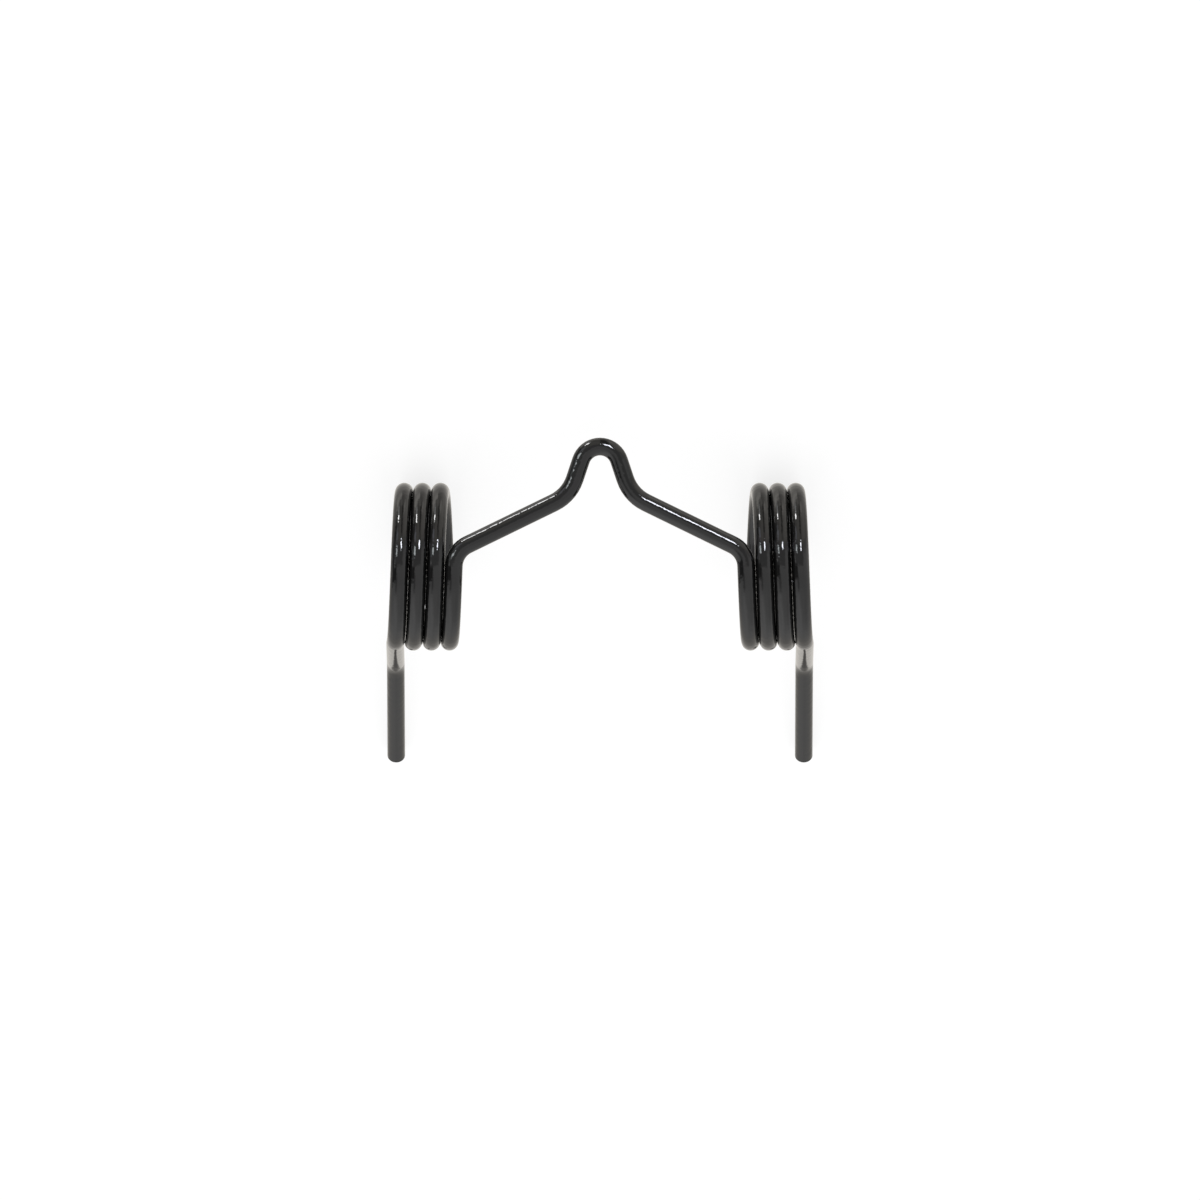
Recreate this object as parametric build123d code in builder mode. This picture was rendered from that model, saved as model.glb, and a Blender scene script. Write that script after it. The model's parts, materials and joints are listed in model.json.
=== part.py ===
from build123d import *

import os
from math import asin, atan2, cos, degrees, radians, sin, tan

# Double torsion spring: one length of round wire, coiled at both sides and mirrored about X = 0.
# A bridge with a raised hump joins the inner turns of the coils, and each outer turn ends in a
# bent leg.
#
# The wire is shaped in a bending frame: X runs along the coils' common axis, the bridge hangs
# in the plane at the front of the coils (-Y) with its hump pointing down, and the legs leave
# the top of the coils, towards +Y. The finished spring is then turned about X to the way it
# lies on a flat surface: on the backs of its coils and the tips of its legs. Millimetres,
# +Z up, with the origin on the coils' axis, midway between them.

# Wire
wire_diameter = 5.0
end_rounding = 0.3             # radius of the broken edge round each cut end

# Coils
coil_mean_diameter = 42.0
turn_gap = 0.06                # clear space between neighbouring turns
full_turns = 3                 # whole turns of each coil, before the part turn up to its leg
leg_exit_angle = 82.6          # part turn from the front of the coil to where the leg leaves

# Bridge, measured on the wire's centreline
bridge_span = 81.7             # from one inner turn to the other, at the front of the coils
bridge_start_length = 0.25     # straight wire between an inner turn and its bend
bridge_bend_radius = 6.8
arm_slope = 26.0               # of each arm, against the coils' axis
hump_foot_radius = 11.4
hump_side_lean = 18.5          # of each side of the hump, away from square to the coils' axis
hump_crown_radius = 5.6
hump_reach = 33.55             # from the coils' axis to the crown, square to that axis

# Legs, measured on the wire's centreline
leg_root_radius = 180.0        # of the slight bend that takes the coil's lead out of the leg
leg_run_length = 36.9          # straight wire from there to the leg's own bend
leg_bend_radius = 17.0
leg_bend_angle = 26.8
leg_tip_length = 42.4          # straight wire from the bend to the cut end

wire_radius = wire_diameter / 2
coil_radius = coil_mean_diameter / 2
coil_pitch = wire_diameter + turn_gap


def bridge_heading(angle):
    """Direction in the bridge's plane: 0 is along the coils' axis, 90 is towards the crown."""
    return Vector(-cos(radians(angle)), 0, -sin(radians(angle)))


def leg_heading(angle):
    """Direction square to the coils' axis: 0 is straight back, 90 is up, away from the crown."""
    return Vector(0, cos(radians(angle)), sin(radians(angle)))


def bend_end(start, heading, new_heading, radius):
    """Where a bend ends that starts here and turns the wire from heading to new_heading."""
    half_turn = radians(heading.get_angle(new_heading)) / 2
    return start + (heading + new_heading) * (radius * tan(half_turn))


# One half of the wire, from the crown to the tip of the leg on the +X side
with BuildLine() as half_wire:
    # Coil: a left-hand helix that starts at its front and winds outwards
    coil_angle = 360 * full_turns + leg_exit_angle
    coil_frame = Plane(origin=(bridge_span / 2, 0, 0), x_dir=(0, -1, 0), z_dir=(1, 0, 0))
    coil_height = coil_pitch * coil_angle / 360
    helix = Helix(coil_pitch, coil_height, coil_radius, lefthand=True, mode=Mode.PRIVATE)
    coil = coil_frame * helix
    add(coil)

    # Leg: it leaves along the coil's tangent, loses the coil's lead, bends once and ends square
    exit_slope = 90 - leg_exit_angle
    run_heading = leg_heading(exit_slope)
    tip_heading = leg_heading(exit_slope + leg_bend_angle)
    run_start = bend_end(coil @ 1, coil % 1, run_heading, leg_root_radius)
    bend_start = run_start + run_heading * leg_run_length
    tip_start = bend_end(bend_start, run_heading, tip_heading, leg_bend_radius)
    leg_end = tip_start + tip_heading * leg_tip_length
    TangentArc(coil @ 1, run_start, tangent=coil % 1)
    Line(run_start, bend_start)
    TangentArc(bend_start, tip_start, tangent=run_heading)
    Line(tip_start, leg_end)

    # Bridge: out of the coil, along the arm and up the hump's side to half of its crown
    out_heading = -(coil % 0)
    arm_heading = bridge_heading(arm_slope)
    side_heading = bridge_heading(90 - hump_side_lean)
    crown_heading = bridge_heading(0)
    bridge_start = coil @ 0
    arm_bend = bridge_start + out_heading * bridge_start_length
    arm_start = bend_end(arm_bend, out_heading, arm_heading, bridge_bend_radius)
    foot_bend = bend_end(Vector(), arm_heading, side_heading, hump_foot_radius)
    crown_bend = bend_end(Vector(), side_heading, crown_heading, hump_crown_radius)
    crown = Vector(0, -coil_radius, -hump_reach)
    # The arm and the hump's side are as long as it takes to get from the bend to the crown
    span = crown - arm_start - foot_bend - crown_bend
    turn = arm_heading.cross(side_heading).Y
    arm_length = span.cross(side_heading).Y / turn
    side_length = arm_heading.cross(span).Y / turn
    arm_end = arm_start + arm_heading * arm_length
    side_start = arm_end + foot_bend
    side_end = side_start + side_heading * side_length
    Line(bridge_start, arm_bend)
    TangentArc(arm_bend, arm_start, tangent=out_heading)
    Line(arm_start, arm_end)
    TangentArc(arm_end, side_start, tangent=arm_heading)
    Line(side_start, side_end)
    TangentArc(side_end, crown, tangent=side_heading)

# The wire's seam starts on the underside of the leg's tip, and so runs on along the inside of
# the coils and the back of the bridge
across_tip = leg_heading(exit_slope + leg_bend_angle - 90)
with BuildPart() as wire:
    with BuildLine() as path:
        add(half_wire.line)
        mirror(half_wire.line, about=Plane.YZ)
    with BuildSketch(Plane(origin=leg_end, x_dir=across_tip, z_dir=tip_heading)):
        Circle(wire_radius)
    sweep(path=path.wire())
    fillet(wire.faces().filter_by(GeomType.PLANE).edges(), radius=end_rounding)

# Rest: the surface that the spring lies on touches the backs of the coils and the rounded edge of
# each leg's cut end.
rim = leg_end - tip_heading * end_rounding + across_tip * (wire_radius - end_rounding)
rim_distance = Vector(0, rim.Y, rim.Z)
rim_angle = degrees(atan2(rim.Z, rim.Y))
outer_radius = coil_radius + wire_radius
surface_angle = rim_angle + degrees(asin((outer_radius - end_rounding) / rim_distance.length))

with BuildPart() as spring:
    add(wire.part, rotation=(-surface_angle, 0, 0))
spring.part.label = "double_torsion_spring"

os.makedirs("parts", exist_ok=True)
export_step(spring.part, "parts/double_torsion_spring.step")
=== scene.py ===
import json
import math

import bpy
from mathutils import Matrix, Vector


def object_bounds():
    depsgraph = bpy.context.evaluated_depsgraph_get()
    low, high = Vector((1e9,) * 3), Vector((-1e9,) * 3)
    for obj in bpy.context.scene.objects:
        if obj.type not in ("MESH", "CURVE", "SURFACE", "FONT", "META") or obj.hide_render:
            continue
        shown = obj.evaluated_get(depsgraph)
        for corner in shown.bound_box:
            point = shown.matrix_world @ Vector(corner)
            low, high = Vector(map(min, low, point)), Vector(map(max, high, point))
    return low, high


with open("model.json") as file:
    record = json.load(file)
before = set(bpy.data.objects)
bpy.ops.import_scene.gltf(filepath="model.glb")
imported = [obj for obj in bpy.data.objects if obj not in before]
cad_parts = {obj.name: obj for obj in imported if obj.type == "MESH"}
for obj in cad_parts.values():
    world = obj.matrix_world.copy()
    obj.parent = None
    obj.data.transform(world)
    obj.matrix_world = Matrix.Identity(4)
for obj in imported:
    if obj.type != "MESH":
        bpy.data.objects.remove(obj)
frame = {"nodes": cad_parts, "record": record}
cad_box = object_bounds()
bpy.context.scene.view_settings.view_transform = "Standard"

# The spring lies on the backs of its coils. The camera looks down on it, square to its bridge,
# with the hump's crown up in the picture.
spring = frame["nodes"]["double_torsion_spring"]
mounts = {mount["name"]: mount for mount in frame["record"]["mounts"]}
view_up = Vector(mounts["bridge_hump"]["axis"]).normalized()
view_right = Vector((-1, 0, 0))
to_camera = view_right.cross(view_up).normalized()

# ---------------------------------------------------------------- settings

# Camera
pixel = 0.00028                # metres to one pixel of the picture, on the object
picture_width = 1200           # pixels
centre_below_axis = 33.3       # pixels from the coils' axis down to the picture's centre
lens = 1600                    # millimetres: long enough to look almost parallel
plane_behind_axis = 0.010      # metres from the axis to the depth where the picture's scale holds
clip_start = 0.1               # metres
clip_end_distances = 4         # the clip end, in camera distances

# Floor
floor_reach = 6.0              # metres from the middle to each side
floor_colour = 0.25
floor_glow = 0.80              # with the light on its colour, enough for a white floor

# Paint
paint_colour = 0.003
paint_roughness = 0.03
paint_ior = 1.5
ripple_scale = 500             # to one metre: waves of about 2 mm, with finer ones on them
ripple_detail = 2.5
ripple_roughness = 0.5
ripple_strength = 1.0
ripple_height = 0.00009        # metres

# Tints
white = (1.0, 1.0, 1.0)
warm = (1.0, 0.96, 0.90)
cool = (0.89, 0.91, 1.0)
teal = (0.92, 0.98, 1.0)

# Levels in the world, where 1 is white
background_level = 1.0
soft_light_level = 1.0
room_level = 0.60              # of the studio, where no panel covers it
side_level = 0.68              # beside and behind the spring, round the mirror ball's rim
side_fade = (0.64, 0.36)       # where the sides begin and are whole: 1 is the camera, 0 the rim
backdrop_level = 0.80          # straight behind the spring
backdrop_fade = (0.30, 0.12)

# Each panel is a soft-edged rectangle in the surroundings, placed by where a small mirror ball,
# seen from the camera, would show it. Across and up run from -1 to 1 over the ball, the half
# width, half height and edge softness are in the same unit, and the turn is in degrees.
panels = [
    # name, across, up, half width, half height, turn, softness, level, tint
    ("table", 0.0, -0.42, 0.76, 0.52, 0, 0.55, 1.04, white),
    ("table edge", 0.05, -0.14, 0.62, 0.13, 0, 0.16, 0.90, white),
    ("table right", 0.50, -0.52, 0.18, 0.25, 0, 0.30, 0.88, white),
    ("table glow", -0.26, -0.52, 0.26, 0.11, -42, 0.34, 1.45, white),
    ("table shade", -0.29, -0.18, 0.10, 0.10, 0, 0.14, 0.52, white),
    ("above table", 0.0, 0.14, 0.75, 0.13, 0, 0.05, 0.52, white),
    ("right front", 0.66, 0.08, 0.32, 0.13, 0, 0.16, 0.96, white),
    ("left gap", -0.53, -0.06, 0.22, 0.08, 0, 0.07, 0.15, white),
    ("left curtain", -0.70, 0.10, 0.09, 0.12, 0, 0.08, 0.22, white),
    ("upper left gap", -0.575, 0.35, 0.07, 0.14, -35, 0.08, 0.15, white),
    ("left wall", -0.76, 0.46, 0.12, 0.07, 0, 0.10, 0.80, warm),
    ("right wall", 0.44, 0.49, 0.20, 0.20, 0, 0.20, 1.05, warm),
    ("right glow", 0.30, 0.67, 0.08, 0.06, 0, 0.10, 1.50, warm),
    ("upper wall", -0.10, 0.44, 0.14, 0.16, 0, 0.14, 0.85, warm),
    ("upper wall top", -0.04, 0.76, 0.09, 0.04, 0, 0.10, 0.90, warm),
    ("lamp stand", 0.10, 0.56, 0.06, 0.17, 0, 0.06, 0.22, warm),
    ("ceiling", 0.20, 0.86, 0.26, 0.05, 0, 0.08, 0.45, warm),
    ("ceiling left", -0.44, 0.72, 0.19, 0.06, 36, 0.10, 1.75, warm),
    ("ceiling front", -0.18, 0.84, 0.12, 0.04, 15, 0.08, 1.75, warm),
    ("window frame", -0.36, 0.36, 0.09, 0.06, 0, 0.08, 1.50, cool),
    ("window glow", -0.53, 0.15, 0.06, 0.035, 0, 0.05, 1.00, teal),
    ("window sill", -0.54, 0.06, 0.05, 0.02, 0, 0.04, 1.30, white),
    ("window", -0.365, 0.185, 0.075, 0.045, 0, 0.03, 7.8, teal),
    ("side lamp glow", -0.31, 0.63, 0.075, 0.06, 17, 0.08, 2.0, white),
    ("side lamp", -0.31, 0.565, 0.047, 0.034, 17, 0.02, 22.0, white),
    ("key lamp", 0.11, 0.26, 0.056, 0.05, 10, 0.02, 33.0, cool),
]

# ---------------------------------------------------------------- node helpers


class Tree:
    """A small helper for writing a node tree as plain expressions."""

    def __init__(self, tree):
        self.tree = tree
        tree.nodes.clear()

    def node(self, kind, **settings):
        made = self.tree.nodes.new(kind)
        for name, value in settings.items():
            setattr(made, name, value)
        return made

    def put(self, socket, value):
        if isinstance(value, bpy.types.NodeSocket):
            self.tree.links.new(value, socket)
        else:
            socket.default_value = value

    def put_all(self, made, *values):
        for socket, value in zip(made.inputs, values):
            self.put(socket, value)

    def math(self, operation, *values):
        made = self.node("ShaderNodeMath", operation=operation)
        self.put_all(made, *values)
        return made.outputs[0]

    def vector(self, operation, *values):
        made = self.node("ShaderNodeVectorMath", operation=operation)
        self.put_all(made, *values)
        return made.outputs["Value" if operation == "DOT_PRODUCT" else "Vector"]

    def fade(self, value, start, end):
        """From 0 at the start to 1 at the end, smoothly."""
        made = self.node("ShaderNodeMapRange", interpolation_type="SMOOTHSTEP", clamp=True)
        self.put_all(made, value, start, end)
        return made.outputs[0]

    def ray(self, kind):
        """1 for a ray of this kind, and 0 for any other."""
        return self.node("ShaderNodeLightPath").outputs[f"Is {kind} Ray"]

    def mix_colour(self, factor, first, second):
        # The node has inputs for its other data types as well: those of a colour are 6 and 7
        made = self.node("ShaderNodeMix", data_type="RGBA")
        for index, value in ((0, factor), (6, first), (7, second)):
            self.put(made.inputs[index], value)
        return made.outputs[2]

    def mix_shader(self, factor, first, second):
        made = self.node("ShaderNodeMixShader")
        self.put_all(made, factor, first, second)
        return made.outputs[0]

    def background(self, colour):
        made = self.node("ShaderNodeBackground")
        self.put(made.inputs["Color"], colour)
        return made.outputs[0]

    def finish(self, kind, surface):
        self.put(self.node(kind).inputs["Surface"], surface)


def tinted(level, tint):
    return (*[level * part for part in tint], 1)


def grey(level):
    return tinted(level, white)


def new_material(name):
    material = bpy.data.materials.new(name)
    material.use_nodes = True
    return material, Tree(material.node_tree)


# ---------------------------------------------------------------- camera


def make_camera():
    data = bpy.data.cameras.new("camera")
    data.lens = lens
    camera = bpy.data.objects.new("camera", data)
    bpy.context.scene.collection.objects.link(camera)
    distance = picture_width * pixel * lens / data.sensor_width
    aim = -view_up * centre_below_axis * pixel - to_camera * plane_behind_axis
    turn = Matrix((view_right, view_up, to_camera)).transposed().to_4x4()
    camera.matrix_world = Matrix.Translation(aim + to_camera * distance) @ turn
    data.clip_start = clip_start
    data.clip_end = distance * clip_end_distances
    bpy.context.scene.camera = camera


# ---------------------------------------------------------------- studio


def studio_colour(t):
    """What a ray that leaves the gloss sees of the studio, as the mirror ball would show it."""
    direction = t.node("ShaderNodeTexCoord").outputs["Generated"]
    halfway = t.vector("NORMALIZE", t.vector("ADD", direction, tuple(to_camera)))
    across = t.vector("DOT_PRODUCT", halfway, tuple(view_right))
    up = t.vector("DOT_PRODUCT", halfway, tuple(view_up))
    near = t.vector("DOT_PRODUCT", halfway, tuple(to_camera))
    colour = tinted(room_level, warm)
    for _, x, y, half_width, half_height, turn, soft, level, tint in panels:
        c, s = math.cos(math.radians(turn)), math.sin(math.radians(turn))
        dx, dy = t.math("SUBTRACT", across, x), t.math("SUBTRACT", up, y)
        along_width = t.math("ADD", t.math("MULTIPLY", dx, c), t.math("MULTIPLY", dy, s))
        along_height = t.math("SUBTRACT", t.math("MULTIPLY", dy, c), t.math("MULTIPLY", dx, s))
        u, v = t.math("ABSOLUTE", along_width), t.math("ABSOLUTE", along_height)
        inside_u = t.fade(u, half_width + soft / 2, half_width - soft / 2)
        inside_v = t.fade(v, half_height + soft / 2, half_height - soft / 2)
        inside = t.math("MULTIPLY", inside_u, inside_v)
        colour = t.mix_colour(inside, colour, tinted(level, tint))
    colour = t.mix_colour(t.fade(near, *side_fade), colour, tinted(side_level, warm))
    return t.mix_colour(t.fade(near, *backdrop_fade), colour, tinted(backdrop_level, warm))


def make_world():
    """White behind the spring, the studio in its gloss, and plain soft light on everything."""
    world = bpy.data.worlds.new("studio")
    world.use_nodes = True
    bpy.context.scene.world = world
    t = Tree(world.node_tree)
    studio = t.background(studio_colour(t))
    soft_light = t.background(grey(soft_light_level))
    lit = t.mix_shader(t.ray("Glossy"), soft_light, studio)
    seen = t.math("ADD", t.ray("Camera"), t.ray("Transmission"))
    surface = t.mix_shader(seen, lit, t.background(grey(background_level)))
    t.finish("ShaderNodeOutputWorld", surface)


def make_floor():
    """A white floor that takes the spring's shadow.

    The gloss doesn't see it and it shadows nothing, because some of the studio is below it: the
    spring lies down, and the studio stands as it would round an upright spring.
    """
    data = bpy.data.meshes.new("floor")
    z = cad_box[0].z
    sides = ((-1, -1), (1, -1), (1, 1), (-1, 1))
    data.from_pydata([(x * floor_reach, y * floor_reach, z) for x, y in sides], [], [(0, 1, 2, 3)])
    floor = bpy.data.objects.new("floor", data)
    bpy.context.scene.collection.objects.link(floor)
    floor.visible_glossy = False
    floor.visible_shadow = False
    material, t = new_material("floor")
    diffuse = t.node("ShaderNodeBsdfDiffuse")
    diffuse.inputs["Color"].default_value = grey(floor_colour)
    glow = t.node("ShaderNodeEmission")
    seen = t.math("ADD", t.ray("Camera"), t.ray("Transmission"))
    t.put(glow.inputs["Strength"], t.math("MULTIPLY", seen, floor_glow))
    added = t.node("ShaderNodeAddShader")
    t.put_all(added, diffuse.outputs[0], glow.outputs[0])
    t.finish("ShaderNodeOutputMaterial", added.outputs[0])
    data.materials.append(material)


# ---------------------------------------------------------------- paint


def make_paint():
    """Gloss black enamel, with the fine ripple that sprayed paint dries to."""
    material, t = new_material("gloss_black_enamel")
    place = t.node("ShaderNodeTexCoord").outputs["Object"]
    ripple = t.node("ShaderNodeTexNoise", noise_dimensions="3D")
    t.put(ripple.inputs["Vector"], place)
    ripple.inputs["Scale"].default_value = ripple_scale
    ripple.inputs["Detail"].default_value = ripple_detail
    ripple.inputs["Roughness"].default_value = ripple_roughness
    bump = t.node("ShaderNodeBump")
    bump.inputs["Strength"].default_value = ripple_strength
    bump.inputs["Distance"].default_value = ripple_height
    t.put(bump.inputs["Height"], ripple.outputs["Fac"])
    shader = t.node("ShaderNodeBsdfPrincipled")
    shader.inputs["Base Color"].default_value = grey(paint_colour)
    shader.inputs["Roughness"].default_value = paint_roughness
    shader.inputs["IOR"].default_value = paint_ior
    t.put(shader.inputs["Normal"], bump.outputs["Normal"])
    t.finish("ShaderNodeOutputMaterial", shader.outputs[0])
    return material


make_camera()
make_world()
make_floor()
spring.data.materials.clear()
spring.data.materials.append(make_paint())
